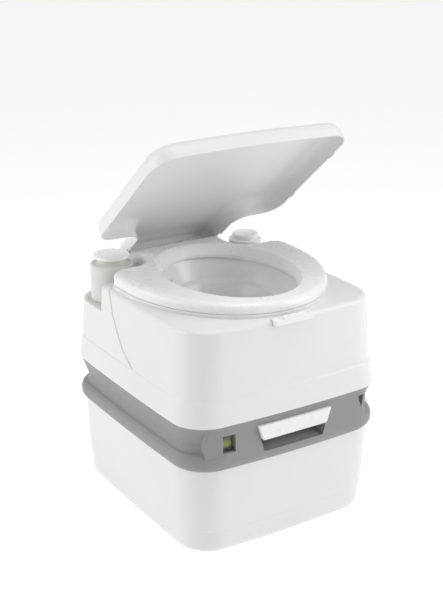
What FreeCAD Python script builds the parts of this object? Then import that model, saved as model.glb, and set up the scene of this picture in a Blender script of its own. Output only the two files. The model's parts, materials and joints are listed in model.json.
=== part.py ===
import FreeCAD, Part
import math
import os

from FreeCAD import Vector

# Portable cassette toilet in two sections: a waste tank with a valve below, and a
# flush-water tank with bowl, seat, lid and piston pump above. Millimetres. The origin is
# the centre of the footprint on the floor, +Z is up, and the front faces -Y. The lid is
# drawn LID_OPEN degrees open; everything else is at rest.

# ---- driving dimensions: the body -------------------------------------------------------
BODY_HALF_W = 191.0
BODY_HALF_D = 212.0
CORNER_R = 58.0
BASE_HALF_W = 178.0
BASE_HALF_D = 201.0
BASE_LINE_Z = 42.0
BASE_STEP = 1.2
COLLAR_Z0 = 152.0
SPLIT_Z = 227.0
DECK_Z = 379.0
DECK_HALF_W = 179.0
DECK_HALF_D = 200.0
SKIRT_Z = 268.0
WALL = 2.3
GAP = 0.3

# ---- driving dimensions: bowl, seat and lid -----------------------------------------------
BOWL_Y = -19.0
HOLE_A = 103.0
HOLE_B = 133.0
PLATEAU_Z = 385.2
PLATEAU_LIP = 1.2
SEAT_Z0 = 386.0
SEAT_PLATE_Z = 407.5
SEAT_FRONT_TOP = 401.5
SEAT_RISE = 0.0183
SEAT_EDGE_R = 10.5
DISH_Z = 391.0
SEAT_HALF_W = 172.0
SEAT_FRONT_Y = -189.0
SEAT_WIDE_Y = 20.0
WING_Y = 80.5
SEAT_NECK = 86.0
LID_HALF_W = 181.0
LID_FRONT_Y = -203.0
LID_WING_Y = 85.0
LID_NECK = 95.0
LID_BACK_Y = 191.0
LID_Z0 = 380.5
LID_TOP_Z = 412.0
LID_WALL = 2.5
LID_OPEN = 40.0
HINGE_Y = 188.0
HINGE_Z = 390.0
KNUCKLE_R = 7.0
PIN_R = 3.0
FIT = 0.05

# ---- driving dimensions: pump and caps ----------------------------------------------------
PUMP_X = -136.0
PUMP_Y = 137.0
PUMP_DECK_Z = 333.0
KNOB_R = 36.5
KNOB_TOP_Z = 414.0
NOTCH_R = 47.0
FILL_X = 136.0
FILL_Y = 137.0
FILL_DECK_Z = 358.0
FILL_NECK_R = 24.0
FILL_CAP_R = 29.5
FILL_TOP_Z = 399.0

# ---- driving dimensions: valve, indicator, spout ------------------------------------------
TANK_DECK_Z = 212.0
SHOULDER_W = 172.0
SHOULDER_D = 193.0
VALVE_Y = BOWL_Y
VALVE_R = 46.0
BLADE_W = 54.0
VALVE_FLOOR_Z = 205.0
BLADE_Z = 209.6
BLADE_T = 2.8
INDICATOR_X = -120.0
SPOUT_X = -120.0
SPOUT_Y = 165.0
SPOUT_Z = 185.4
SPOUT_R = 21.0
SPOUT_CAP_R = 24.6
VENT_X = 110.0
VENT_Y = 118.0
NICHE = (-158.0, 44.0, 133.0, 158.0, 216.0)    # x from, x to, y from, z from, z to


# ---- small helpers ------------------------------------------------------------------------
def box(x0, x1, y0, y1, z0, z1):
    return Part.makeBox(x1 - x0, y1 - y0, z1 - z0, Vector(x0, y0, z0))


def cyl(r, x, y, z0, z1):
    return Part.makeCylinder(r, z1 - z0, Vector(x, y, z0))


def cyl_x(r, x0, x1, y, z):
    return Part.makeCylinder(r, x1 - x0, Vector(x0, y, z), Vector(1, 0, 0))


def cyl_y(r, y0, y1, x, z):
    return Part.makeCylinder(r, y1 - y0, Vector(x, y0, z), Vector(0, 1, 0))


def tube(r_out, r_in, x, y, z0, z1):
    return cyl(r_out, x, y, z0, z1).cut(cyl(r_in, x, y, z0 - 1, z1 + 1))


def turned(profile, x, y, z=0.0):
    """Solid of revolution about a vertical axis through (x, y); profile is (radius, height)."""
    points = [Vector(r, 0, h) for r, h in profile]
    face = Part.Face(Part.makePolygon(points + [points[0]]))
    solid = face.revolve(Vector(0, 0, 0), Vector(0, 0, 1), 360)
    solid.translate(Vector(x, y, z))
    return solid


def fuse(first, *others):
    return first.multiFuse(list(others)).removeSplitter()


def prism(wire, height):
    return Part.Face(wire).extrude(Vector(0, 0, height))


def edges_at(shape, z, tol=0.05):
    return [e for e in shape.Edges
            if abs(e.BoundBox.ZMin - z) < tol and abs(e.BoundBox.ZMax - z) < tol]


def rounded_polygon(points, radii, z):
    """Closed wire through points in order, each corner rounded to its own radius."""
    edges = []
    last = None
    first = None
    count = len(points)
    for i in range(count):
        p = Vector(*points[i], z)
        before = (Vector(*points[i - 1], z) - p).normalize()
        after = (Vector(*points[(i + 1) % count], z) - p).normalize()
        half = math.acos(max(-1.0, min(1.0, before.dot(after)))) / 2
        reach = radii[i] / math.tan(half)
        start = p + before * reach
        end = p + after * reach
        mid_dir = (before + after).normalize()
        mid = p + mid_dir * (radii[i] / math.sin(half) - radii[i])
        if last is not None and last.distanceToPoint(start) > 1e-6:
            edges.append(Part.LineSegment(last, start).toShape())
        edges.append(Part.Arc(start, mid, end).toShape())
        if first is None:
            first = start
        last = end
    if last.distanceToPoint(first) > 1e-6:
        edges.append(Part.LineSegment(last, first).toShape())
    return Part.Wire(edges)


def arc_radius(half_chord, rise):
    return (half_chord ** 2 + rise ** 2) / (2 * rise)


def body_outline(z, half_w, half_d, corner=CORNER_R, bow_side=4.0, bow_front=8.0):
    """Four slightly bowed sides joined by tangent corner arcs, at height z."""
    r_front = arc_radius(half_w, bow_front)
    r_side = arc_radius(half_d, bow_side)
    front_c = half_d - r_front
    side_c = half_w - r_side
    near_f = r_front - corner
    near_s = r_side - corner
    span = math.hypot(side_c, front_c)
    along = (near_f ** 2 - near_s ** 2 + span ** 2) / (2 * span)
    off = math.sqrt(near_f ** 2 - along ** 2)
    ux, uy = side_c / span, -front_c / span
    candidates = [(along * ux - s * off * uy, front_c + along * uy + s * off * ux)
                  for s in (1, -1)]
    cx, cy = max(candidates, key=lambda c: c[0] + c[1])
    to_front = Vector(cx, cy - front_c, 0).normalize()
    to_side = Vector(cx - side_c, cy, 0).normalize()
    tf = (to_front.x * r_front, front_c + to_front.y * r_front)
    ts = (side_c + to_side.x * r_side, to_side.y * r_side)
    out = (to_front + to_side).normalize()
    tm = (cx + out.x * corner, cy + out.y * corner)

    def at(p, sx, sy):
        return Vector(p[0] * sx, p[1] * sy, z)

    def arc(a, b, c):
        return Part.Arc(a, b, c).toShape()

    quadrants = [(1, 1), (-1, 1), (-1, -1), (1, -1)]
    edges = [arc(at(ts, 1, -1), Vector(half_w, 0, z), at(ts, 1, 1)),
             arc(at(ts, 1, 1), at(tm, 1, 1), at(tf, 1, 1)),
             arc(at(tf, 1, 1), Vector(0, half_d, z), at(tf, -1, 1)),
             arc(at(tf, *quadrants[1]), at(tm, *quadrants[1]), at(ts, *quadrants[1])),
             arc(at(ts, -1, 1), Vector(-half_w, 0, z), at(ts, -1, -1)),
             arc(at(ts, *quadrants[2]), at(tm, *quadrants[2]), at(tf, *quadrants[2])),
             arc(at(tf, -1, -1), Vector(0, -half_d, z), at(tf, 1, -1)),
             arc(at(tf, *quadrants[3]), at(tm, *quadrants[3]), at(ts, *quadrants[3]))]
    return Part.Wire(edges)


def stack(sections, inset=0.0):
    """Straight-sided solid through body outlines; a section is (z, half width, half depth)."""
    wires = [body_outline(z, w - inset, d - inset, CORNER_R - inset) for z, w, d in sections]
    return Part.makeLoft(wires, True, True)


def ellipse_wire(z, a, b):
    centre = Vector(0, BOWL_Y, z)
    return Part.Wire([Part.Ellipse(Vector(0, BOWL_Y + b, z), Vector(a, BOWL_Y, z), centre).toShape()])


def ellipse_stack(sections, ruled=False):
    return Part.makeLoft([ellipse_wire(z, a, b) for z, a, b in sections], True, ruled)


def seat_outline(z, inset=0.0):
    """Elliptical front, square shoulders, two round clearances and a neck to the hinge."""
    w = SEAT_HALF_W - inset
    depth = SEAT_WIDE_Y - SEAT_FRONT_Y - inset
    wing = WING_Y - inset
    neck = SEAT_NECK - inset
    back = HINGE_Y - KNUCKLE_R - 3.5 - inset
    curve = Part.Ellipse(Vector(0, SEAT_WIDE_Y - depth, z), Vector(w, SEAT_WIDE_Y, z),
                         Vector(0, SEAT_WIDE_Y, z))
    front = Part.ArcOfEllipse(curve, -math.pi / 2, math.pi / 2).toShape()
    corners = [(w, SEAT_WIDE_Y), (w, wing), (neck, wing), (neck, back),
               (-neck, back), (-neck, wing), (-w, wing), (-w, SEAT_WIDE_Y)]
    radii = [0, 26 - inset / 2, 38 + inset, 8, 8, 38 + inset, 26 - inset / 2, 0]
    edges = []
    last = Vector(*corners[0], z)
    for i in range(1, 7):
        p = Vector(*corners[i], z)
        before = (Vector(*corners[i - 1], z) - p).normalize()
        after = (Vector(*corners[i + 1], z) - p).normalize()
        start, end = p + before * radii[i], p + after * radii[i]
        mid = p + (before + after).normalize() * radii[i] * (math.sqrt(2) - 1)
        edges.append(Part.LineSegment(last, start).toShape())
        edges.append(Part.Arc(start, mid, end).toShape())
        last = end
    edges.append(Part.LineSegment(last, Vector(*corners[7], z)).toShape())
    return Part.Wire(Part.__sortEdges__([front] + edges))


def lid_outline(z, inset=0.0):
    w = LID_HALF_W - inset
    front = LID_FRONT_Y + inset
    wing = LID_WING_Y - inset
    neck = LID_NECK - inset
    back = LID_BACK_Y - inset
    points = [(neck, back), (neck, wing), (w, wing), (w, front + 10), (0, front),
              (-w, front + 10), (-w, wing), (-neck, wing), (-neck, back)]
    radii = [6, 30 + inset, 32 - inset, 46 - inset, 1800, 46 - inset, 32 - inset, 30 + inset, 6]
    return rounded_polygon(points, radii, z)


def opened(shape):
    """Turns a piece drawn with the lid shut to the angle at which the lid stands open."""
    shape = shape.copy()
    shape.rotate(Vector(0, HINGE_Y, HINGE_Z), Vector(-1, 0, 0), LID_OPEN)
    return shape


# ---- the lower section --------------------------------------------------------------------
COLLAR_SECTIONS = [(COLLAR_Z0, 186.0, 207.5), (155.0, 188.6, 210.0), (160.0, 190.6, 212.0),
                   (168.0, 190.8, 212.2), (174.0, 189.6, 211.0), (179.0, 186.5, 207.9),
                   (182.0, 183.0, 204.4), (186.0, 181.2, 202.6), (193.0, 180.6, 202.0),
                   (205.0, 183.4, 204.8), (215.0, 186.2, 207.6), (222.0, 188.8, 210.0),
                   (224.6, 189.6, 210.8), (SPLIT_Z, 190.4, 211.6)]
FRONT_SECTIONS = [(COLLAR_Z0 + 12, 190.6, 212.0), (180.0, 190.8, 212.2), (SPLIT_Z, 188.4, 209.4)]


def waste_tank():
    low = [(0.0, BASE_HALF_W - BASE_STEP, BASE_HALF_D - BASE_STEP),
           (BASE_LINE_Z - 1, 180.4 - BASE_STEP, 202.6 - BASE_STEP),
           (BASE_LINE_Z + 1, 180.6, 202.8), (COLLAR_Z0 - GAP, 185.0, 206.0)]
    outer = stack(low)
    outer = outer.makeFillet(15.0, edges_at(outer, 0.0))
    shoulder = stack([(COLLAR_Z0 - 2, SHOULDER_W, SHOULDER_D),
                      (TANK_DECK_Z, SHOULDER_W, SHOULDER_D)])
    shoulder = shoulder.makeFillet(5.0, edges_at(shoulder, TANK_DECK_Z))
    front_cut = box(-96, 96, -240, -171, 157, 240)
    x0, x1, y0, z0, _ = NICHE
    rear_cut = box(x0, x1, y0, 240, z0, 240)
    outer = outer.fuse(shoulder).cut(front_cut).cut(rear_cut)
    inner = stack([(WALL, BASE_HALF_W - 3, BASE_HALF_D - 3), (COLLAR_Z0 - WALL, 185.0, 206.0)],
                  inset=WALL)
    inner = inner.makeFillet(12.0, edges_at(inner, WALL))
    upper = stack([(COLLAR_Z0 - 4, SHOULDER_W, SHOULDER_D),
                   (TANK_DECK_Z - WALL, SHOULDER_W, SHOULDER_D)], inset=WALL)
    inner = inner.fuse(upper)
    inner = inner.cut(box(-96 - WALL, 96 + WALL, -240, -171 + WALL, 157 - WALL, 240))
    inner = inner.cut(box(x0 - WALL, x1 + WALL, y0 - WALL, 240, z0 - WALL, 240))
    inner = inner.cut(box(-77 - WALL, 77 + WALL, -240, 55 + WALL, VALVE_FLOOR_Z - WALL, 240))
    tank = outer.cut(box(-77, 77, -240, 55, VALVE_FLOOR_Z, 240)).cut(inner)
    tank = tank.cut(cyl(VALVE_R + 4, 0, VALVE_Y, VALVE_FLOOR_Z - 9, VALVE_FLOOR_Z + 5))
    tank = tank.cut(cyl(20.0, SPOUT_X, SPOUT_Y, z0 - 8, z0 + 5))
    window = box(INDICATOR_X - 14, INDICATOR_X + 14, -200, -170, 179, 209)
    vent = cyl(6.2, VENT_X, VENT_Y, TANK_DECK_Z - 9, TANK_DECK_Z + 5)
    return tank.cut(window).cut(vent).removeSplitter()


def collar_panel(inset):
    """The fuller front face of the collar between the two corner pockets."""
    body = stack(FRONT_SECTIONS, inset)
    plan = [(-104, -214), (104, -214), (122, -211.5), (149, -205.5), (149, -150), (-158, -150), (-158, -200)]
    plan = [(x, y + inset) for x, y in plan]
    face = Part.Face(Part.makePolygon([Vector(x, y, COLLAR_Z0 + 10) for x, y in plan + plan[:1]]))
    return body.common(face.extrude(Vector(0, 0, SPLIT_Z - COLLAR_Z0 - 10)))


def tank_collar():
    skin = stack(COLLAR_SECTIONS).fuse(collar_panel(0.0))
    inner = stack([(z, w, d) for z, w, d in COLLAR_SECTIONS if 155.0 <= z <= 225.0], inset=WALL)
    skin = skin.cut(inner.fuse(collar_panel(WALL).common(box(-149, 149, -240, 0, 164, 224.6))))
    skin = skin.cut(stack([(COLLAR_Z0 - 5, 172.4, 193.4), (COLLAR_Z0 + 8, 172.4, 193.4)]))
    skin = skin.cut(stack([(220.0, 165.0, 186.0), (SPLIT_Z + 5, 165.0, 186.0)]))
    whole = stack([(COLLAR_Z0 + 4, 189.0, 210.4)] + COLLAR_SECTIONS[2:]).fuse(collar_panel(0.0))
    # solid blocks inside the skin that carry the handle recess, the window and the rear niche
    frame = box(-92, 92, -240, -175, 160, 226)
    frame = frame.fuse(box(INDICATOR_X - 17, -91, -240, -199.8, 176, 216))
    frame = frame.fuse(box(128, 147, -240, -197, 191, 219))
    x0, x1, _, z0, z1 = NICHE
    frame = frame.fuse(box(x0 - 5, x0, 196, 240, 156, 226)).fuse(box(x1, x1 + 5, 196, 240, 156, 226))
    frame = frame.fuse(box(x0, x1, 198, 240, z1, 226))
    collar = skin.fuse(whole.common(frame))
    # finger recess under the pull, narrower below, with a scooped floor
    recess = Part.makeLoft([
        Part.makePolygon([Vector(-70.8, y, 214.6), Vector(-57, y, 168 + lift), Vector(57, y, 168 + lift),
                          Vector(70.8, y, 214.6), Vector(-70.8, y, 214.6)])
        for y, lift in ((-240, 0.0), (-206, 0.0), (-190, 5.0), (-179, 14.0))], True, True)
    collar = collar.cut(recess)
    collar = collar.cut(box(-58, 58, -185, -150, 204, 214))
    collar = collar.cut(box(INDICATOR_X - 11, INDICATOR_X + 11, -240, -190, 181.5, 210))
    collar = collar.cut(box(x0, x1, 178, 240, z0, z1))
    collar = collar.cut(box(-13, 13, 190, 209, z1 - 1, SPLIT_Z + 1))
    collar = collar.cut(box(-13, 36, 190, 198, SPLIT_Z - 8, SPLIT_Z + 1))
    corners = [(131, 215), (144, 215.5), (138.5, 194)]
    pocket = Part.Face(Part.makePolygon([Vector(x, -215, z) for x, z in corners + corners[:1]]))
    return collar.cut(pocket.extrude(Vector(0, 15.5, 0))).removeSplitter()


def valve_base():
    z = VALVE_FLOOR_Z
    plate = box(-75, 75, -168, 52, z, z + 4)
    rails = box(-75, -BLADE_W - GAP, -168, 52, z + 4, z + 8)
    rails = rails.fuse(box(BLADE_W + GAP, 75, -168, 52, z + 4, z + 8))
    stop = box(-60, 60, 44, 52, z + 4, z + 8)
    plate = fuse(plate, rails, stop)
    plate = plate.fuse(cyl(VALVE_R + 3.6, 0, VALVE_Y, z - 6, z + 1))
    plate = plate.cut(cyl(VALVE_R, 0, VALVE_Y, 190, 230))
    for x, y in SCREW_PLACES:
        plate = plate.cut(cyl(1.6, x, y, z + 1, 230))
    return plate.removeSplitter()


SCREW_PLACES = [(sx * 68, y) for sx in (-1, 1) for y in (-158, -90, -20, 42)]
COVER_Z = VALVE_FLOOR_Z + 8


def valve_cover():
    plate = box(-75, 75, -168, 52, COVER_Z, COVER_Z + 2.5)
    ring = tube(VALVE_R + 8, VALVE_R, 0, VALVE_Y, COVER_Z + 2, 225.5)
    groove = tube(VALVE_R + 5.5, VALVE_R + 2.5, 0, VALVE_Y, 223.0, 226)
    plate = fuse(plate, ring).cut(cyl(VALVE_R, 0, VALVE_Y, 210, 230)).cut(groove)
    for x, y in SCREW_PLACES:
        plate = plate.cut(cyl(2.0, x, y, 210, 230))
    return plate


def valve_seal():
    """Lip seal in the cover's groove that meets the foot of the bowl."""
    return turned([(VALVE_R + 2.5, 223.0), (VALVE_R + 5.5, 223.0), (VALVE_R + 5.5, 226.0),
                   (VALVE_R + 3.0, 229.5), (VALVE_R + 0.8, 229.5), (VALVE_R + 2.5, 226.0)],
                  0, VALVE_Y)


def valve_screws():
    """Pan-head screws; each is a separate solid."""
    out = []
    head = COVER_Z + 2.5
    for x, y in SCREW_PLACES:
        screw = cyl(1.6 - FIT, x, y, VALVE_FLOOR_Z + 1.5, head).fuse(cyl(3.4, x, y, head, head + 2))
        slot = box(x - 2.4, x + 2.4, y - 0.45, y + 0.45, head + 1.1, head + 3)
        cross = box(x - 0.45, x + 0.45, y - 2.4, y + 2.4, head + 1.1, head + 3)
        out.append(screw.removeSplitter().cut(slot).cut(cross))
    return Part.makeCompound(out)


def valve_blade():
    blade = box(-BLADE_W, BLADE_W, -182, 38, BLADE_Z, BLADE_Z + BLADE_T)
    corners = [e for e in blade.Edges if e.BoundBox.ZLength > 1 and e.BoundBox.YMax > 30]
    blade = blade.makeFillet(20.0, corners)
    for x in RIVET_X:
        blade = blade.cut(cyl(RIVET_R, x, RIVET_Y, BLADE_Z - 1, BLADE_Z + BLADE_T + 1))
    return blade


RIVET_X = (-32.0, 0.0, 32.0)
RIVET_Y = -176.5
RIVET_R = 1.8


def valve_handle():
    """Trapezoidal pull with a rounded face, a lip that the blade is screwed under."""
    front = [(-70, 214), (-62, 189), (62, 189), (70, 214)]
    face = Part.Face(Part.makePolygon([Vector(x, -205, z) for x, z in front + [front[0]]]))
    bar = face.extrude(Vector(0, -11, 0))
    upright = [e for e in bar.Edges if e.BoundBox.YLength > 5 and e.BoundBox.ZMax < 200]
    bar = bar.makeFillet(6.0, upright)
    rim = [e for e in bar.Edges if e.BoundBox.YMax < -215.9]
    bar = bar.makeFillet(2.2, rim)
    hollow = Part.Face(Part.makePolygon([Vector(x * 0.93, -206.5 + 4.0, 211 - (214 - z) * 0.76)
                                         for x, z in front + [front[0]]]))
    bar = bar.cut(hollow.extrude(Vector(0, -8.5, 0)))
    tongue = box(-50, 50, -207, -171.5, BLADE_Z - 4.4, BLADE_Z)
    pull = fuse(bar, tongue, box(-50, 50, -207, -204, BLADE_Z - 4.4, BLADE_Z + 3))
    for x in RIVET_X:
        pull = pull.cut(cyl(RIVET_R, x, RIVET_Y, BLADE_Z - 3.4, BLADE_Z + 1))
    return pull


def blade_rivets():
    """Flush rivets that hold the blade on the pull's tongue."""
    return Part.makeCompound([cyl(RIVET_R - FIT, x, RIVET_Y, BLADE_Z - 3.2, BLADE_Z + BLADE_T)
                              for x in RIVET_X])


def indicator_housing():
    x = INDICATOR_X
    shell = box(x - 13.7, x + 13.7, -199.5, -180, 179.3, 208.7)
    shell = shell.cut(box(x - 11, x + 11, -198, -170, 181.5, 207))
    flange = box(x - 16, x + 16, -196.8, -193.4, 177.5, 211.5)
    flange = flange.cut(box(x - 11, x + 11, -200, -190, 181.5, 207))
    shell = fuse(shell, flange.cut(box(x - 13.7, x + 13.7, -200, -190, 179.3, 208.7)))
    shell = shell.cut(box(x - 10, x + 10, -200, -196, 182.5, 206))
    return shell.cut(cyl_x(1.6, x - 20, x + 20, PIVOT.y, PIVOT.z)).removeSplitter()


def indicator_lens():
    """Clear window pane set into the collar in front of the drum."""
    x = INDICATOR_X
    return box(x - 10.8, x + 10.8, -203.4, -199.6, 181.8, 209.6)


def indicator_pin():
    return cyl_x(1.6 - FIT, INDICATOR_X - 13.6, INDICATOR_X + 13.6, PIVOT.y, PIVOT.z)


PIVOT = Vector(INDICATOR_X, -188.0, 191.5)
DRUM_R = 9.3
ARM_KNEE = Vector(INDICATOR_X, -150.0, 168.0)
ARM_TIP = Vector(INDICATOR_X, -112.0, 160.0)
ARM_R = 2.0
BOSS_REACH = 11.0


def indicator_drum():
    """Coloured drum behind the window, with a boss that carries the float's arm."""
    drum = cyl_x(DRUM_R, INDICATOR_X - 9, INDICATOR_X + 9, PIVOT.y, PIVOT.z)
    boss = Part.makeCylinder(3.0, BOSS_REACH, PIVOT, ARM_KNEE - PIVOT)
    pin_hole = cyl_x(1.6, INDICATOR_X - 20, INDICATOR_X + 20, PIVOT.y, PIVOT.z)
    return drum.fuse(boss).cut(pin_hole).removeSplitter()


def float_arm():
    outward = (ARM_KNEE - PIVOT).normalize()
    start = PIVOT + outward * BOSS_REACH
    ring = Part.Wire([Part.makeCircle(ARM_R, start, outward)])
    return round_path([start, ARM_KNEE, ARM_TIP]).makePipeShell([ring], True, False)


def level_float():
    ball = turned([(0, -12), (10, -12), (14, -8), (14, 8), (10, 12), (0, 12)], INDICATOR_X, -110, 160)
    reach = ARM_TIP - ARM_KNEE
    return ball.cut(Part.makeCylinder(ARM_R, reach.Length, ARM_KNEE, reach))


def spout_socket():
    base = turned([(15.5, 148), (19.8, 148), (19.8, 158), (26, 158), (26, 161), (15.5, 161)],
                  SPOUT_X, SPOUT_Y)
    return base


def spout_elbow():
    """Swivelling pour-out spout: upright, bend and arm along +X when stowed."""
    def run(r, z_foot):
        upright = cyl(r, SPOUT_X, SPOUT_Y, z_foot, SPOUT_Z)
        ball = Part.makeSphere(r, Vector(SPOUT_X, SPOUT_Y, SPOUT_Z))
        return upright.fuse(ball)
    outer = run(SPOUT_R, 164.0).fuse(cyl_x(SPOUT_R, SPOUT_X, SPOUT_X + 116, SPOUT_Y, SPOUT_Z))
    stem = cyl(15.4, SPOUT_X, SPOUT_Y, 150.0, 166.0)
    inner = run(SPOUT_R - 2.5, 168.0).fuse(cyl_x(SPOUT_R - 2.5, SPOUT_X, SPOUT_X + 120, SPOUT_Y, SPOUT_Z))
    inner = inner.fuse(cyl(12.9, SPOUT_X, SPOUT_Y, 145, 170))
    collar = cyl_x(SPOUT_R + 2, SPOUT_X + 88, SPOUT_X + 92, SPOUT_Y, SPOUT_Z)
    grip = box(SPOUT_X + 20, SPOUT_X + 70, SPOUT_Y + 20, SPOUT_Y + 28, SPOUT_Z - 2, SPOUT_Z + 2)
    return outer.fuse(stem).fuse(collar).fuse(grip).cut(inner).removeSplitter()


def spout_ring():
    """O-ring between the socket and the turning spout."""
    return Part.makeTorus(18.0, 1.4, Vector(SPOUT_X, SPOUT_Y, 162.5))


def screw_cap(axis_start, direction, r_out, r_in, depth, top, ribs):
    """Cup with grip ribs round it, drawn along +Z from the origin and then placed."""
    cup = cyl(r_out, 0, 0, 0, depth)
    cup = cup.makeFillet(2.5, edges_at(cup, depth))
    cup = cup.cut(cyl(r_in, 0, 0, -1, depth - top))
    notches = []
    for i in range(ribs):
        a = 2 * math.pi * i / ribs
        notches.append(cyl(1.6, (r_out + 0.7) * math.cos(a), (r_out + 0.7) * math.sin(a), -1, depth - 4))
    cup = cup.cut(Part.makeCompound(notches))
    turn = FreeCAD.Rotation(Vector(0, 0, 1), direction)
    cup.Placement = FreeCAD.Placement(axis_start, turn)
    return cup


def spout_cap():
    start = Vector(SPOUT_X + 98, SPOUT_Y, SPOUT_Z)
    return screw_cap(start, Vector(1, 0, 0), SPOUT_CAP_R, SPOUT_R + GAP, 24.0, 3.0, 20)


def spout_gasket():
    x = SPOUT_X + 116
    ring = cyl_x(SPOUT_R, x, x + 3, SPOUT_Y, SPOUT_Z)
    return ring.cut(cyl_x(SPOUT_R - 4, x - 1, x + 4, SPOUT_Y, SPOUT_Z))


def vent_bush():
    """Threaded bush in the tank deck that guides the air-release button."""
    return turned([(3.6, TANK_DECK_Z - 6), (6.0, TANK_DECK_Z - 6), (6.0, TANK_DECK_Z),
                   (11.0, TANK_DECK_Z), (11.0, TANK_DECK_Z + 2), (3.6, TANK_DECK_Z + 2)],
                  VENT_X, VENT_Y)


def vent_button():
    z = TANK_DECK_Z
    return turned([(0.0, z - 12), (6.0, z - 12), (6.0, z - 9.5), (3.5, z - 9.5), (3.5, z + 8),
                   (9.5, z + 8), (9.5, z + 11), (8.0, z + 12.5), (0.0, z + 13)], VENT_X, VENT_Y)


def spring_sleeve(r_out, r_in, length, coils):
    """Compression spring drawn as a ribbed sleeve along +Z from the origin."""
    pitch = length / coils
    outside = [(r_in, 0.0)]
    for i in range(coils):
        outside += [(r_out, pitch * (i + 0.2)), (r_out, pitch * (i + 0.45)), (r_in + 0.5, pitch * (i + 0.8))]
    return turned(outside + [(r_in + 0.5, length), (r_in, length)], 0, 0)


def vent_spring():
    spring = spring_sleeve(5.4, 4.0, 5.4, 3)
    spring.translate(Vector(VENT_X, VENT_Y, TANK_DECK_Z + 2.4))
    return spring


# ---- the upper section --------------------------------------------------------------------
TANK_SECTIONS = [(SPLIT_Z, BODY_HALF_W, BODY_HALF_D), (SPLIT_Z + 4, BODY_HALF_W, BODY_HALF_D),
                 (SKIRT_Z - 2, 187.6, 207.6), (SKIRT_Z + 1, 186.4, 206.4),
                 (DECK_Z, DECK_HALF_W, DECK_HALF_D)]
CREASE = 1.3
CREASE_LINE = [(-22, 269.5), (11, 290), (30, 312), (50, 339), (66, 379), (80, 420)]    # y, z
BOWL_SECTIONS = [(387.0, 107.0, 139.0), (380.0, 104.0, 135.0), (352.0, 92.0, 116.0),
                 (346.0, 86.0, 108.0), (300.0, 66.0, 78.0), (250.0, 48.0, 51.0),
                 (228.0, 45.0, 46.0)]


def notch(side, x, y, floor, r, grow=0.0):
    """Clearance for the pump or the filler at a back corner of the deck."""
    well = cyl(r + grow, x, y, floor - grow, 420)
    lo, hi = sorted((side * 230, side * abs(x)))
    outer = box(lo, hi, y - r - grow, 240, floor - grow, 420)
    lo, hi = sorted((side * 230, side * (108.0 - grow)))
    back = box(lo, hi, y, 240, floor - grow, 420)
    return well.fuse(outer).fuse(back)


def bowl_space(grow):
    """Column of the bowl through the tank, for its outer skin plus grow."""
    return ellipse_stack([(z, a + grow, b + grow) for z, a, b in BOWL_SECTIONS], True)


def tank_skin():
    """Outside of the flush tank; behind a slanting crease the sides stand a little fuller."""
    outer = stack(TANK_SECTIONS)
    outer = outer.makeFillet(8.0, edges_at(outer, DECK_Z))
    full = stack([(SPLIT_Z, 187.0, 207.0)] + [(z, w + CREASE, d + CREASE) for z, w, d in TANK_SECTIONS[3:]])
    full = full.makeFillet(8.0, edges_at(full, DECK_Z))
    line = CREASE_LINE + [(300, 420), (300, CREASE_LINE[0][1])]
    behind = Part.Face(Part.makePolygon([Vector(-300, y, z) for y, z in line + line[:1]]))
    return outer.fuse(full.common(behind.extrude(Vector(600, 0, 0))))


def flush_tank():
    outer = tank_skin()
    plateau = prism(seat_outline(DECK_Z - 4, -PLATEAU_LIP), PLATEAU_Z - DECK_Z + 4)
    plateau = plateau.cut(box(-300, 300, HINGE_Y - KNUCKLE_R - 4, 300, DECK_Z - 10, PLATEAU_Z + 9))
    plateau = plateau.makeFillet(2.0, edges_at(plateau, PLATEAU_Z))
    outer = outer.fuse(plateau)
    left = notch(-1, PUMP_X, PUMP_Y, PUMP_DECK_Z, NOTCH_R)
    right = notch(1, FILL_X, FILL_Y, FILL_DECK_Z, NOTCH_R)
    outer = outer.cut(left).cut(right)
    # the base is recessed behind a skirt
    outer = outer.cut(stack([(SPLIT_Z - 5, BODY_HALF_W, BODY_HALF_D),
                             (SPLIT_Z + 5, BODY_HALF_W, BODY_HALF_D)], inset=6.0))
    inner = stack([(z, w, d) for z, w, d in TANK_SECTIONS[2:]], inset=WALL)
    inner = inner.cut(box(-300, 300, -300, 300, DECK_Z - WALL, 420))
    low = stack([(SPLIT_Z + 8, 188.0, 208.5), (SKIRT_Z - 2, 187.6, 207.6)], inset=WALL)
    inner = inner.fuse(low)
    inner = inner.cut(notch(-1, PUMP_X, PUMP_Y, PUMP_DECK_Z, NOTCH_R, WALL))
    inner = inner.cut(notch(1, FILL_X, FILL_Y, FILL_DECK_Z, NOTCH_R, WALL))
    inner = inner.cut(bowl_space(2.6 + WALL))
    rear = box(-42, 42, 194, 240, 220, 252)
    inner = inner.cut(rear)
    tank = outer.cut(inner)
    tank = tank.cut(bowl_space(2.6 + WALL)).cut(bowl_rebate())
    # filler neck, pump hole, front latch pocket, rear lock slot
    neck = cyl(FILL_NECK_R, FILL_X, FILL_Y, FILL_DECK_Z - 1, FILL_TOP_Z - 7)
    tank = tank.fuse(neck).cut(cyl(FILL_NECK_R - 3, FILL_X, FILL_Y, FILL_DECK_Z - 10, 420))
    tank = tank.cut(cyl(26.2, PUMP_X, PUMP_Y, PUMP_DECK_Z - 6, PUMP_DECK_Z + 6))
    pocket = box(-37.5, 37.5, -230, LATCH_BACK_Y, 370, 420)
    tank = tank.fuse(box(-40, 40, -230, LATCH_BACK_Y + 3, 367, 376).common(outer)).cut(pocket)
    tank = tank.cut(box(-17, 37, 186, 204, 224, 240)).cut(box(-17, 41, 198.5, 240, 229, 246))
    for side in (-1, 1):
        tank = tank.fuse(hinge_lug(side))
    return tank.removeSplitter()


def bowl_rebate():
    return ellipse_stack([(PLATEAU_Z - 2.5, 115.0, 147.0), (PLATEAU_Z + 3, 115.0, 147.0)], True)


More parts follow.
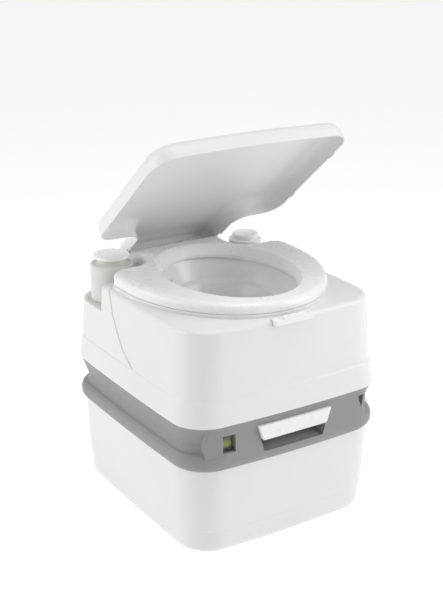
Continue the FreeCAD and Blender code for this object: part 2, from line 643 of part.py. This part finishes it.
def tank_well():
    """Tapered wall that carries the bowl down through the flush tank."""
    wall = bowl_space(2.6 + WALL).cut(bowl_space(2.6)).cut(bowl_rebate())
    wall = wall.common(box(-300, 300, -300, 300, SPLIT_Z + 5, PLATEAU_Z))
    return wall.cut(Part.makeCylinder(6.1, 40, NOZZLE + NOZZLE_DIR * -14, NOZZLE_DIR))


def hinge_lug(side):
    lo, hi = sorted((side * 96.5, side * 106.0))
    lug = cyl_x(KNUCKLE_R, lo, hi, HINGE_Y, HINGE_Z)
    lug = lug.fuse(box(lo, hi, HINGE_Y - KNUCKLE_R, HINGE_Y + KNUCKLE_R, DECK_Z - 3, HINGE_Z))
    return lug.cut(cyl_x(PIN_R, lo - 1, hi + 1, HINGE_Y, HINGE_Z))


def bowl():
    outer = ellipse_stack([(z, a + 2.5, b + 2.5) for z, a, b in BOWL_SECTIONS], True)
    inner = ellipse_stack([(z + 0.01, a, b) for z, a, b in BOWL_SECTIONS], True)
    outer = outer.common(box(-300, 300, -300, 300, 229.5, PLATEAU_Z - 0.05))
    flange = ellipse_stack([(PLATEAU_Z - 2.45, 114.8, 146.8), (PLATEAU_Z - 0.05, 114.8, 146.8)], True)
    solid = outer.fuse(flange).cut(inner)
    port = Part.makeCylinder(6.1, 30, NOZZLE + NOZZLE_DIR * -14, NOZZLE_DIR)
    return solid.cut(port).removeSplitter()


def outlet_ring():
    """Ring under the tank floor that clamps the foot of the bowl."""
    ring = cyl(58.0, 0, BOWL_Y, 229.5, 231.9)
    hole = ellipse_stack([(225.0, 48.7, 49.9), (240.0, 48.7, 49.9)], True)
    ring = ring.cut(hole)
    for x, y in RING_SCREWS:
        ring = ring.cut(cyl(1.6, x, y, 225, 240))
    return ring


def ring_screws():
    out = []
    for x, y in RING_SCREWS:
        screw = cyl(1.6 - FIT, x, y, 229.0, 231.9).fuse(cyl(3.2, x, y, 227.6, 229.5))
        out.append(screw.removeSplitter().cut(box(x - 2.4, x + 2.4, y - 0.5, y + 0.5, 227, 228.4)))
    return Part.makeCompound(out)


RING_SCREWS = [(54.0 * math.cos(a), BOWL_Y + 54.0 * math.sin(a))
               for a in (math.pi / 4 + i * math.pi / 2 for i in range(4))]
NOZZLE = Vector(-55.3, 81.3, 362.0)
NOZZLE_DIR = Vector(-0.664, 0.747, 0.0).normalize()


def flush_nozzle():
    """Elbow through the bowl wall with a fan outlet inside."""
    stem = Part.makeCylinder(6.0, 28, NOZZLE + NOZZLE_DIR * -6, NOZZLE_DIR)
    flange = Part.makeCylinder(9.0, 2.0, NOZZLE + NOZZLE_DIR * -8, NOZZLE_DIR)
    bore = Part.makeCylinder(3.8, 40, NOZZLE + NOZZLE_DIR * -6, NOZZLE_DIR)
    return stem.fuse(flange).cut(bore).removeSplitter()


def hose_route():
    end = NOZZLE + NOZZLE_DIR * 22
    lead = NOZZLE + NOZZLE_DIR * 36
    return [PORT + PORT_DIR * 10, PORT + PORT_DIR * 28, PORT + Vector(28, -20, 34),
            PORT + Vector(31, -19, 70), lead, end]


def round_path(points, share=0.45):
    """Wire of straight runs joined by tangent arcs, each as large as its runs allow."""
    edges = []
    last = points[0]
    for i in range(1, len(points) - 1):
        p = points[i]
        before = points[i - 1] - p
        after = points[i + 1] - p
        reach = share * min(before.Length, after.Length)
        b, a = Vector(before).normalize(), Vector(after).normalize()
        half = math.acos(max(-1.0, min(1.0, b.dot(a)))) / 2
        radius = reach * math.tan(half)
        start, end = p + b * reach, p + a * reach
        mid = p + (a + b).normalize() * (radius / math.sin(half) - radius)
        edges.append(Part.LineSegment(last, start).toShape())
        edges.append(Part.Arc(start, mid, end).toShape())
        last = end
    edges.append(Part.LineSegment(last, points[-1]).toShape())
    return Part.Wire(edges)


def flush_hose():
    route = hose_route()
    path = round_path(route)
    start_dir = (route[1] - route[0]).normalize()

    def sweep(r):
        ring = Part.Wire([Part.makeCircle(r, route[0], start_dir)])
        return path.makePipeShell([ring], True, False)

    return sweep(5.5).cut(sweep(3.8))


# ---- pump ---------------------------------------------------------------------------------
PORT_DIR = Vector(1, -1, 0).normalize()
PORT = Vector(PUMP_X, PUMP_Y, 254.0) + PORT_DIR * 24
PISTON_Z = 262.0


def pump_body():
    """Fixed cylinder hanging in the tank, with a guide tube above the deck."""
    z = PUMP_DECK_Z
    profile = [(21.5, 240), (24.5, 240), (24.5, z - 3), (26.0, z - 3), (26.0, z), (41.0, z),
               (41.0, z + 2.5), (31.0, z + 2.5), (31.0, 372), (28.5, 372), (28.5, z + 2.5),
               (8.0, z + 2.5), (8.0, z - 3), (21.5, z - 3)]
    body = turned(profile, PUMP_X, PUMP_Y)
    spigot = Part.makeCylinder(5.5, 12.0, PORT - PORT_DIR * 2, PORT_DIR)
    spigot = spigot.cut(cyl(23.0, PUMP_X, PUMP_Y, 240, 270))
    body = body.fuse(spigot)
    bore = Part.makeCylinder(3.8, 40.0, PORT - PORT_DIR * 10, PORT_DIR)
    return body.cut(bore).removeSplitter()


def pump_ring():
    """Soft sealing ring round the pump flange."""
    return turned([(41.2, PUMP_DECK_Z), (43.6, PUMP_DECK_Z), (43.6, PUMP_DECK_Z + 1.0),
                   (42.4, PUMP_DECK_Z + 2.0), (41.2, PUMP_DECK_Z + 1.6)], PUMP_X, PUMP_Y)


def pump_knob():
    """Sleeve that slides over the guide tube, with a narrow neck below the cap for the fingers."""
    z = PUMP_DECK_Z + 3.0
    rim = KNOB_TOP_Z - 16
    profile = [(KNOB_R - 2.5, z), (KNOB_R, z), (KNOB_R, rim - 2), (KNOB_R - 2, rim), (29.0, rim),
               (24.5, rim + 3), (23.0, KNOB_TOP_Z - 6.5), (0.0, KNOB_TOP_Z - 6.5),
               (0.0, rim - 2), (22.0, rim - 2), (24.0, rim - 3), (KNOB_R - 2.5, rim - 3)]
    return turned(profile, PUMP_X, PUMP_Y)


def pump_cap():
    """Flat round cap on the knob's neck."""
    z = KNOB_TOP_Z
    return turned([(0.0, z - 6.5), (29.0, z - 6.5), (31.0, z - 5.5), (31.5, z - 4.0), (31.5, z - 3.0),
                   (30.6, z - 1.2), (28.5, z - 0.4), (15.0, z), (0.0, z)], PUMP_X, PUMP_Y)


def pump_rod():
    return cyl(6.0, PUMP_X, PUMP_Y, PISTON_Z + 14, KNOB_TOP_Z - 18)


def pump_piston():
    z = PISTON_Z
    return turned([(0, z), (20.6, z), (21.2, z + 1), (21.2, z + 4), (19.4, z + 4), (19.4, z + 8),
                   (21.2, z + 8), (21.2, z + 13), (20.6, z + 14), (0, z + 14)], PUMP_X, PUMP_Y)


def piston_seal():
    z = PISTON_Z
    return turned([(19.4, z + 4.2), (21.4, z + 4.2), (21.4, z + 7.8), (19.4, z + 7.8)],
                  PUMP_X, PUMP_Y)


def foot_valve():
    """Suction end of the pump: a strainer cage that holds the non-return ball."""
    cage = turned([(6.0, 237), (26.0, 237), (26.0, 240), (21.4, 240), (21.4, 243), (5.0, 243)],
                  PUMP_X, PUMP_Y)
    for i in range(6):
        a = math.pi / 3 * i
        slot = Part.makeBox(30, 3, 1.8, Vector(8, -1.5, 237))
        slot.rotate(Vector(0, 0, 0), Vector(0, 0, 1), math.degrees(a))
        slot.translate(Vector(PUMP_X, PUMP_Y, -1))
        cage = cage.cut(slot)
    return cage


def foot_valve_ball():
    return Part.makeSphere(5.6, Vector(PUMP_X, PUMP_Y, 245.6))


# ---- filler -------------------------------------------------------------------------------
def fill_gasket():
    z = FILL_TOP_Z - 7
    return tube(FILL_NECK_R, FILL_NECK_R - 3, FILL_X, FILL_Y, z, z + 2.0)


def fill_cap():
    """Ribbed screw cap with a smaller round knob on top."""
    start = Vector(FILL_X, FILL_Y, FILL_DECK_Z + 14)
    depth = FILL_TOP_Z - FILL_DECK_Z - 14
    cap = screw_cap(start, Vector(0, 0, 1), FILL_CAP_R, FILL_NECK_R + GAP, depth, 5.0, 24)
    z = FILL_TOP_Z
    knob = turned([(0.0, z - 1), (23.5, z - 1), (23.5, z + 7), (22.0, z + 9), (0.0, z + 9)],
                  FILL_X, FILL_Y)
    knob = knob.cut(cyl(20.5, FILL_X, FILL_Y, z - 5, z + 6.5).cut(cyl(22, FILL_X, FILL_Y, z - 6, z)))
    return cap.fuse(knob).removeSplitter()


# ---- seat, lid, latch -----------------------------------------------------------------------
def above_line(line):
    """Everything above a line of (y, z) points, to trim a top that slopes from front to back."""
    points = line + [(line[-1][0], 460), (line[0][0], 460)]
    face = Part.Face(Part.makePolygon([Vector(-300, y, z) for y, z in points + points[:1]]))
    return face.extrude(Vector(600, 0, 0))


def seat():
    slab = prism(seat_outline(SEAT_Z0), 40)
    slab = slab.cut(above_line([(-250, SEAT_FRONT_TOP - SEAT_RISE * (250 + SEAT_FRONT_Y)),
                                (250, SEAT_FRONT_TOP + SEAT_RISE * (250 - SEAT_FRONT_Y))]))
    top = max(slab.Faces, key=lambda f: f.CenterOfMass.z)
    slab = slab.makeFillet(SEAT_EDGE_R, top.OuterWire.Edges)
    dish = ellipse_stack([(DISH_Z, HOLE_A, HOLE_B), (DISH_Z + 6, HOLE_A + 3, HOLE_B + 4),
                          (SEAT_PLATE_Z - 3, HOLE_A + 9, HOLE_B + 11),
                          (SEAT_PLATE_Z + 1, HOLE_A + 19, HOLE_B + 21)])
    hole = ellipse_stack([(370.0, HOLE_A, HOLE_B), (DISH_Z + 1, HOLE_A, HOLE_B)], True)
    solid = slab.cut(dish).cut(hole).cut(above_line([(140, 409.0), (182, 398.5)]))
    hollow = prism(seat_outline(SEAT_Z0 - 1, 5.0), SEAT_PLATE_Z - SEAT_Z0 - 10)
    hollow = hollow.cut(ellipse_stack([(380, HOLE_A + 4, HOLE_B + 4), (391, HOLE_A + 4, HOLE_B + 4),
                                       (404, HOLE_A + 13, HOLE_B + 14)], True))
    hollow = hollow.cut(box(-300, 300, HINGE_Y - 20, 300, 380, 404))
    for x, y in PAD_PLACES:
        hollow = hollow.cut(cyl(8.0, x, y, 380, 404))
    solid = solid.cut(hollow)
    barrel = cyl_x(KNUCKLE_R, -BARREL_HALF, BARREL_HALF, HINGE_Y, HINGE_Z)
    web = box(-BARREL_HALF, BARREL_HALF, HINGE_Y - KNUCKLE_R - 5, HINGE_Y, SEAT_Z0, SEAT_Z0 + 7)
    solid = solid.fuse(barrel.fuse(web))
    bore = cyl_x(PIN_R + FIT, -120, 120, HINGE_Y, HINGE_Z).cut(box(-59, 59, 100, 250, 300, 450))
    return solid.cut(bore).removeSplitter()


BARREL_HALF = 76.5
PAD_PLACES = [(-130.0, -88.0), (130.0, -88.0), (-140.0, 42.0), (140.0, 42.0)]


def seat_pads():
    return Part.makeCompound([cyl(7.0, x, y, PLATEAU_Z, SEAT_Z0) for x, y in PAD_PLACES])


def lid_block(inset, top, radius):
    block = prism(lid_outline(LID_Z0 - inset, inset), top - LID_Z0 + inset)
    block = block.makeFillet(radius, edges_at(block, top))
    slope = Part.Face(Part.makePolygon([
        Vector(-300, 165, top + 0.2), Vector(-300, 198, top - 10.2), Vector(-300, 198, 460),
        Vector(-300, 165, 460), Vector(-300, 165, top + 0.2)])).extrude(Vector(600, 0, 0))
    return block.cut(slope)


def lid():
    shell = lid_block(0.0, LID_TOP_Z, 21.0)
    shell = shell.cut(lid_block(LID_WALL, LID_TOP_Z - LID_WALL, 18.5))
    shell = shell.cut(box(-200, 200, 150, 220, 370, 384))
    # groove that the catch snaps into
    shell = shell.cut(box(-21, 21, -215, LID_FRONT_Y + 1.4, CATCH_Z, CATCH_Z + 2.4))
    shell = shell.cut(cyl_x(KNUCKLE_R + 0.6, -77, 77, HINGE_Y, HINGE_Z))
    for side in (-1, 1):
        lo, hi = sorted((side * 77.5, side * 93.5))
        knuckle = cyl_x(KNUCKLE_R, lo, hi, HINGE_Y, HINGE_Z)
        web = box(lo, hi, HINGE_Y - 5, HINGE_Y + 3, HINGE_Z, 405)
        shell = shell.fuse(knuckle.fuse(web.common(lid_block(0.0, LID_TOP_Z, 21.0))))
    bore = cyl_x(PIN_R + FIT, -120, 120, HINGE_Y, HINGE_Z).cut(box(-59, 59, 100, 250, 300, 450))
    shell = shell.cut(bore)
    return opened(shell.removeSplitter())


def lid_pads():
    out = []
    for side in (-1, 1):
        edge = side * (LID_HALF_W - LID_WALL / 2)
        for y in (-120.0, 20.0):
            out.append(box(edge - 1.2, edge + 1.2, y - 8, y + 8, DECK_Z + 0.4, LID_Z0))
    return opened(Part.makeCompound(out))


def hinge_pins():
    out = []
    for side in (-1, 1):
        lo, hi = sorted((side * 59.5, side * 107.5))
        pin = cyl_x(PIN_R - FIT, lo, hi, HINGE_Y, HINGE_Z)
        lo, hi = sorted((side * 106.3, side * 108.5))
        out.append(pin.fuse(cyl_x(5.5, lo, hi, HINGE_Y, HINGE_Z)).removeSplitter())
    return Part.makeCompound(out)


LATCH_BACK_Y = -192.5
CATCH_Z = 382.4


def lid_latch():
    """Sprung catch: a block in the deck's front pocket with a lip that snaps into the lid."""
    body = box(-36.5, 36.5, -208.0, LATCH_BACK_Y - 0.8, 370.3, 379.6)
    body = body.makeFillet(2.0, [e for e in body.Edges if e.BoundBox.YMax < -207.9])
    lip = box(-20, 20, -208.0, -204.3, 376.0, CATCH_Z + 2.2)
    barb = box(-20, 20, -204.8, LID_FRONT_Y + 0.9, CATCH_Z + 0.3, CATCH_Z + 1.9)
    latch = fuse(body, lip, barb)
    for x in LATCH_SPRINGS:
        latch = latch.cut(cyl_y(2.6, -202.0, LATCH_BACK_Y, x, 375.0))
    return latch


LATCH_SPRINGS = (-28.0, 28.0)


def latch_spring():
    """Two small springs that hold the catch towards the lid; each is a separate solid."""
    out = []
    for x in LATCH_SPRINGS:
        coil = spring_sleeve(2.3, 1.2, 9.5, 5)
        coil.Placement = FreeCAD.Placement(Vector(x, LATCH_BACK_Y, 375.0),
                                           FreeCAD.Rotation(Vector(0, 0, 1), Vector(0, -1, 0)))
        out.append(coil)
    return Part.makeCompound(out)


def tank_lock():
    """Sliding lock: a thumb plate outside, a web through the skirt and a toe for the collar."""
    thumb = box(-14, 14, 199.0, 206.5, 229.5, 245.5)
    for i in range(4):
        z = 232.5 + 3.4 * i
        thumb = thumb.cut(box(-11, 11, 205.6, 208, z, z + 1.4))
    web = box(-11, 11, 192.0, 196.5, 211.0, 238.0)
    bridge = box(-11, 11, 192.0, 200.0, 233.0, 238.0)
    toe = box(-11, 11, 192.0, 206.0, 211.0, 214.8)
    return fuse(thumb, web, bridge, toe)


# ---- everything, by node name ---------------------------------------------------------------
NODES = {
    "waste_tank": waste_tank,
    "tank_collar": tank_collar,
    "valve_base": valve_base,
    "valve_cover": valve_cover,
    "valve_seal": valve_seal,
    "valve_screws": valve_screws,
    "valve_blade": valve_blade,
    "valve_handle": valve_handle,
    "blade_rivets": blade_rivets,
    "indicator_housing": indicator_housing,
    "indicator_lens": indicator_lens,
    "indicator_pin": indicator_pin,
    "indicator_drum": indicator_drum,
    "float_arm": float_arm,
    "level_float": level_float,
    "vent_bush": vent_bush,
    "vent_button": vent_button,
    "vent_spring": vent_spring,
    "spout_socket": spout_socket,
    "spout_elbow": spout_elbow,
    "spout_ring": spout_ring,
    "spout_cap": spout_cap,
    "spout_gasket": spout_gasket,
    "flush_tank": flush_tank,
    "tank_well": tank_well,
    "bowl": bowl,
    "outlet_ring": outlet_ring,
    "ring_screws": ring_screws,
    "flush_nozzle": flush_nozzle,
    "flush_hose": flush_hose,
    "pump_body": pump_body,
    "pump_ring": pump_ring,
    "pump_knob": pump_knob,
    "pump_cap": pump_cap,
    "pump_rod": pump_rod,
    "pump_piston": pump_piston,
    "piston_seal": piston_seal,
    "foot_valve": foot_valve,
    "foot_valve_ball": foot_valve_ball,
    "fill_gasket": fill_gasket,
    "fill_cap": fill_cap,
    "seat": seat,
    "seat_pads": seat_pads,
    "lid": lid,
    "lid_pads": lid_pads,
    "hinge_pins": hinge_pins,
    "lid_latch": lid_latch,
    "latch_spring": latch_spring,
    "tank_lock": tank_lock,
}


def main():
    os.makedirs("parts", exist_ok=True)
    for name, make in NODES.items():
        shape = make()
        shape.exportStep("parts/" + name + ".step")
        print(name, "solids", len(shape.Solids), "volume", round(shape.Volume / 1000, 2),
              "valid", shape.isValid())


main()
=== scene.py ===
import json
import math

import bpy
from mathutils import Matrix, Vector

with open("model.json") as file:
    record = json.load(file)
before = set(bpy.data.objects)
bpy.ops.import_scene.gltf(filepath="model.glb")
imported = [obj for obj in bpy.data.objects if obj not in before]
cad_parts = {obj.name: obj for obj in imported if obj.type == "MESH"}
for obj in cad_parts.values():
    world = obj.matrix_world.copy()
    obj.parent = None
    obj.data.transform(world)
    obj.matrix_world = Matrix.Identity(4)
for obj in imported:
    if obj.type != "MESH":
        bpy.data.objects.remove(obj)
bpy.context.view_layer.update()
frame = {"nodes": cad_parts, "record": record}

# ---- the view: metres, degrees, and millimetres for the lens ----------------------------
AIM = Vector((0.0244, 0.0414, 0.3360))
VIEW_AZIMUTH = -32.52
VIEW_ELEVATION = 19.45
VIEW_DISTANCE = 2.0467
LENS = 72.4
SENSOR_WIDTH = 36.0
CLIP_END = 50.0

# ---- the studio: metres, degrees and watts ----------------------------------------------
FLOOR_SIZE = 60.0
FLOOR_GLOW = 0.74
FLOOR_ROUGHNESS = 0.9
WORLD_STRENGTH = 0.42
# name, azimuth, elevation, distance, side of the square, power
SOFTBOXES = [
    ("left_softbox", -112.0, 22.0, 2.6, 1.8, 25.0),
    ("right_softbox", 48.0, 24.0, 2.8, 1.8, 31.0),
    ("top_softbox", 0.0, 80.0, 2.4, 1.6, 21.0),
]

# ---- plastics: bump depths in metres ----------------------------------------------------
WAVE_DEPTH = 0.00005
GRAIN_DEPTH = 0.00004
FINE_GRAIN_DEPTH = 0.00002
GLOSSY_GRAIN_DEPTH = 0.00001
GRAIN_SCALE = 900.0
COAT_ROUGHNESS = 0.15


def outward(azimuth, elevation):
    """Unit vector from the object towards a viewer at these angles, in degrees."""
    a = math.radians(azimuth)
    e = math.radians(elevation)
    return Vector((math.sin(a) * math.cos(e), -math.cos(a) * math.cos(e), math.sin(e)))


def look_at(obj, target):
    obj.rotation_euler = (Vector(target) - obj.location).to_track_quat("-Z", "Y").to_euler()


def add_camera():
    data = bpy.data.cameras.new("camera")
    data.lens = LENS
    data.sensor_width = SENSOR_WIDTH
    data.clip_end = CLIP_END
    camera = bpy.data.objects.new("camera", data)
    bpy.context.scene.collection.objects.link(camera)
    camera.location = AIM + outward(VIEW_AZIMUTH, VIEW_ELEVATION) * VIEW_DISTANCE
    look_at(camera, AIM)
    bpy.context.scene.camera = camera


def add_softbox(name, azimuth, elevation, distance, side, power):
    data = bpy.data.lights.new(name, "AREA")
    data.shape = "RECTANGLE"
    data.size = side
    data.size_y = side
    data.energy = power
    light = bpy.data.objects.new(name, data)
    bpy.context.scene.collection.objects.link(light)
    light.location = AIM + outward(azimuth, elevation) * distance
    look_at(light, AIM)


# ---- materials --------------------------------------------------------------------------
class Shader:
    """A principled material with small helpers for adding procedural nodes."""

    def __init__(self, name):
        self.material = bpy.data.materials.new(name)
        self.material.use_nodes = True
        self.tree = self.material.node_tree
        self.bsdf = self.tree.nodes["Principled BSDF"]
        self.coords = self.tree.nodes.new("ShaderNodeTexCoord").outputs["Object"]

    def node(self, kind, **values):
        made = self.tree.nodes.new(kind)
        for key, value in values.items():
            setattr(made, key, value)
        return made

    def link(self, source, target):
        self.tree.links.new(source, target)

    def noise(self, scale, detail=3.0, roughness=0.5):
        made = self.node("ShaderNodeTexNoise")
        made.inputs["Scale"].default_value = scale
        made.inputs["Detail"].default_value = detail
        made.inputs["Roughness"].default_value = roughness
        self.link(self.coords, made.inputs["Vector"])
        return made.outputs["Fac"]

    def speckle(self, scale):
        made = self.node("ShaderNodeTexVoronoi", feature="F1")
        made.inputs["Scale"].default_value = scale
        self.link(self.coords, made.inputs["Vector"])
        return made.outputs["Distance"]

    def remap(self, source, low, high, new_low, new_high):
        """Stretch a value from low..high to new_low..new_high, held at both ends."""
        made = self.node("ShaderNodeMapRange")
        for key, value in zip(("From Min", "From Max", "To Min", "To Max"),
                              (low, high, new_low, new_high)):
            made.inputs[key].default_value = value
        self.link(source, made.inputs["Value"])
        return made.outputs["Result"]

    def vary(self, source, new_low, new_high):
        """Stretch the middle of a noise, where most of it lies, to new_low..new_high."""
        return self.remap(source, 0.3, 0.7, new_low, new_high)

    def colours(self, factor, first, second):
        made = self.node("ShaderNodeMix", data_type="RGBA")
        made.inputs["A"].default_value = (*first, 1.0)
        made.inputs["B"].default_value = (*second, 1.0)
        self.link(factor, made.inputs["Factor"])
        return made.outputs["Result"]

    def bump(self, height, depth, below=None):
        """Bump by a height between 0 and 1 that stands for depth metres."""
        made = self.node("ShaderNodeBump")
        made.inputs["Strength"].default_value = 1.0
        made.inputs["Distance"].default_value = depth
        self.link(height, made.inputs["Height"])
        if below is not None:
            self.link(below, made.inputs["Normal"])
        return made.outputs["Normal"]


def moulded(name, colour, shade, roughness, grain=GRAIN_DEPTH, coat=0.0):
    """Injection or blow moulded plastic: faint colour drift, uneven gloss, fine tool texture."""
    s = Shader(name)
    drift = s.remap(s.noise(5.0, 4.0, 0.55), 0.35, 0.65, 0.0, 1.0)
    s.link(s.colours(drift, colour, shade), s.bsdf.inputs["Base Color"])
    gloss = s.vary(s.noise(23.0, 5.0, 0.6), roughness * 0.88, roughness * 1.12)
    s.link(gloss, s.bsdf.inputs["Roughness"])
    wave = s.bump(s.noise(16.0, 2.0), WAVE_DEPTH)
    s.link(s.bump(s.noise(GRAIN_SCALE, 2.0, 0.6), grain, wave), s.bsdf.inputs["Normal"])
    s.bsdf.inputs["Coat Weight"].default_value = coat
    s.bsdf.inputs["Coat Roughness"].default_value = COAT_ROUGHNESS
    return s.material


def textured(name, colour, shade, roughness):
    """Spark-eroded plastic with a fine pebbled skin."""
    s = Shader(name)
    cells = s.remap(s.speckle(1300.0), 0.0, 0.6, 0.0, 1.0)
    s.link(s.colours(s.noise(9.0, 5.0, 0.6), colour, shade), s.bsdf.inputs["Base Color"])
    gloss = s.vary(s.noise(40.0, 4.0), roughness * 0.9, roughness * 1.1)
    s.link(gloss, s.bsdf.inputs["Roughness"])
    swell = s.bump(s.noise(220.0, 3.0), 0.00006)
    s.link(s.bump(cells, 0.00005, swell), s.bsdf.inputs["Normal"])
    return s.material


def rubber(name, colour, shade):
    """Matt rubber or soft plastic with a fine grain."""
    s = Shader(name)
    s.link(s.colours(s.noise(60.0, 5.0, 0.7), colour, shade), s.bsdf.inputs["Base Color"])
    s.link(s.vary(s.noise(150.0, 4.0), 0.55, 0.75), s.bsdf.inputs["Roughness"])
    s.link(s.bump(s.noise(1500.0, 3.0), 0.00004), s.bsdf.inputs["Normal"])
    return s.material


def plated(name):
    """Plated steel, a little uneven in tone and gloss."""
    s = Shader(name)
    s.link(s.colours(s.noise(300.0, 4.0), (0.62, 0.62, 0.63), (0.5, 0.5, 0.49)),
           s.bsdf.inputs["Base Color"])
    s.link(s.vary(s.noise(800.0, 3.0), 0.25, 0.42), s.bsdf.inputs["Roughness"])
    s.link(s.bump(s.noise(2500.0, 2.0), 0.00002), s.bsdf.inputs["Normal"])
    s.bsdf.inputs["Metallic"].default_value = 1.0
    return s.material


def clear_pane(name):
    """Clear plastic of the indicator's window."""
    s = Shader(name)
    s.link(s.colours(s.noise(30.0), (0.92, 0.95, 0.93), (0.88, 0.92, 0.9)),
           s.bsdf.inputs["Base Color"])
    s.link(s.vary(s.noise(200.0, 4.0), 0.005, 0.02), s.bsdf.inputs["Roughness"])
    s.bsdf.inputs["Transmission Weight"].default_value = 1.0
    s.bsdf.inputs["IOR"].default_value = 1.45
    return s.material


def make_materials():
    return {
        "white_shell": moulded("white_shell", (0.79, 0.79, 0.785), (0.77, 0.77, 0.765), 0.34),
        "white_trim": moulded("white_trim", (0.87, 0.87, 0.865), (0.85, 0.85, 0.845), 0.28,
                              grain=FINE_GRAIN_DEPTH),
        "bowl_white": moulded("bowl_white", (0.83, 0.83, 0.825), (0.80, 0.80, 0.79), 0.24,
                              grain=GLOSSY_GRAIN_DEPTH, coat=0.2),
        "inner_white": moulded("inner_white", (0.66, 0.67, 0.67), (0.6, 0.61, 0.61), 0.5),
        "pump_cream": moulded("pump_cream", (0.71, 0.715, 0.68), (0.68, 0.685, 0.65), 0.34),
        "grey_band": textured("grey_band", (0.285, 0.288, 0.287), (0.26, 0.263, 0.262), 0.46),
        "dark_plastic": textured("dark_plastic", (0.02, 0.021, 0.023), (0.03, 0.03, 0.03), 0.5),
        "lime": moulded("lime", (0.46, 0.56, 0.02), (0.38, 0.48, 0.015), 0.3),
        "clear": clear_pane("clear"),
        "seal_rubber": rubber("seal_rubber", (0.03, 0.03, 0.032), (0.045, 0.045, 0.045)),
        "soft_pad": rubber("soft_pad", (0.66, 0.66, 0.65), (0.6, 0.6, 0.59)),
        "hose": rubber("hose", (0.6, 0.63, 0.64), (0.52, 0.55, 0.56)),
        "steel": plated("steel"),
    }


def dress_nodes(materials):
    for part in frame["record"]["subparts"]:
        mesh = frame["nodes"][part["node"]].data
        mesh.materials.clear()
        mesh.materials.append(materials[part["material_slot"]])


# ---- the floor and the lights -----------------------------------------------------------
def add_floor():
    bpy.ops.mesh.primitive_plane_add(size=FLOOR_SIZE, location=(0.0, 0.0, 0.0))
    floor = bpy.context.object
    floor.name = "floor"
    s = Shader("floor_paper")
    s.link(s.colours(s.noise(2.0), (0.38, 0.38, 0.38), (0.36, 0.36, 0.36)),
           s.bsdf.inputs["Base Color"])
    s.bsdf.inputs["Roughness"].default_value = FLOOR_ROUGHNESS
    s.bsdf.inputs["Emission Color"].default_value = (1.0, 1.0, 1.0, 1.0)
    s.bsdf.inputs["Emission Strength"].default_value = FLOOR_GLOW
    floor.data.materials.append(s.material)


def add_studio():
    scene = bpy.context.scene
    scene.view_settings.view_transform = "Standard"
    world = bpy.data.worlds.new("studio")
    world.use_nodes = True
    background = world.node_tree.nodes["Background"]
    background.inputs["Color"].default_value = (1.0, 1.0, 1.0, 1.0)
    background.inputs["Strength"].default_value = WORLD_STRENGTH
    scene.world = world
    for softbox in SOFTBOXES:
        add_softbox(*softbox)


add_camera()
add_floor()
add_studio()
dress_nodes(make_materials())
